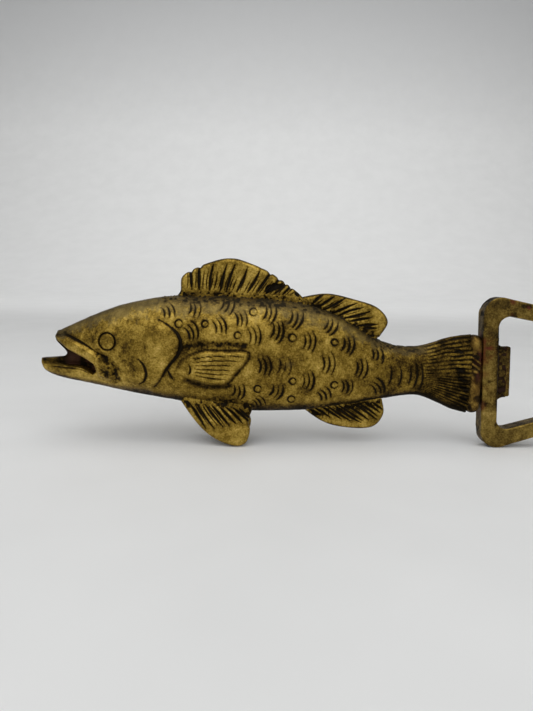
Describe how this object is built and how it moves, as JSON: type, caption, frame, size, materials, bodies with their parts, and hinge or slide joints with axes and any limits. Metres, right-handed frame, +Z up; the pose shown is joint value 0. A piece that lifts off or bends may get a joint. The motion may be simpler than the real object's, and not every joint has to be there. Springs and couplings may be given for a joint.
{
  "type": "souvenir bottle opener",
  "caption": "Cast brass fish that stands on its fins, with a flat steel opener loop and catch lug brazed into its tail.",
  "frame": {"origin": "on the surface the piece stands on, under the middle of its bounding box", "axes": "+X from the fish's nose towards the opener loop, +Y towards the fish's right flank, +Z up"},
  "size_m": [0.1692, 0.0188, 0.0546],
  "materials": {
    "fish_brass": "aged cast brass, dark patina in the recesses and worn bright on the high spots",
    "opener_steel": "brass-plated steel, dull brown with small rust spots",
    "braze_filler": "lumpy brazing brass, dull, with copper-red stains"
  },
  "bodies": {
    "root": {"fish_left_half": "fish_brass", "fish_right_half": "fish_brass", "opener_frame": "opener_steel", "tail_braze": "braze_filler"}
  },
  "joints": []
}
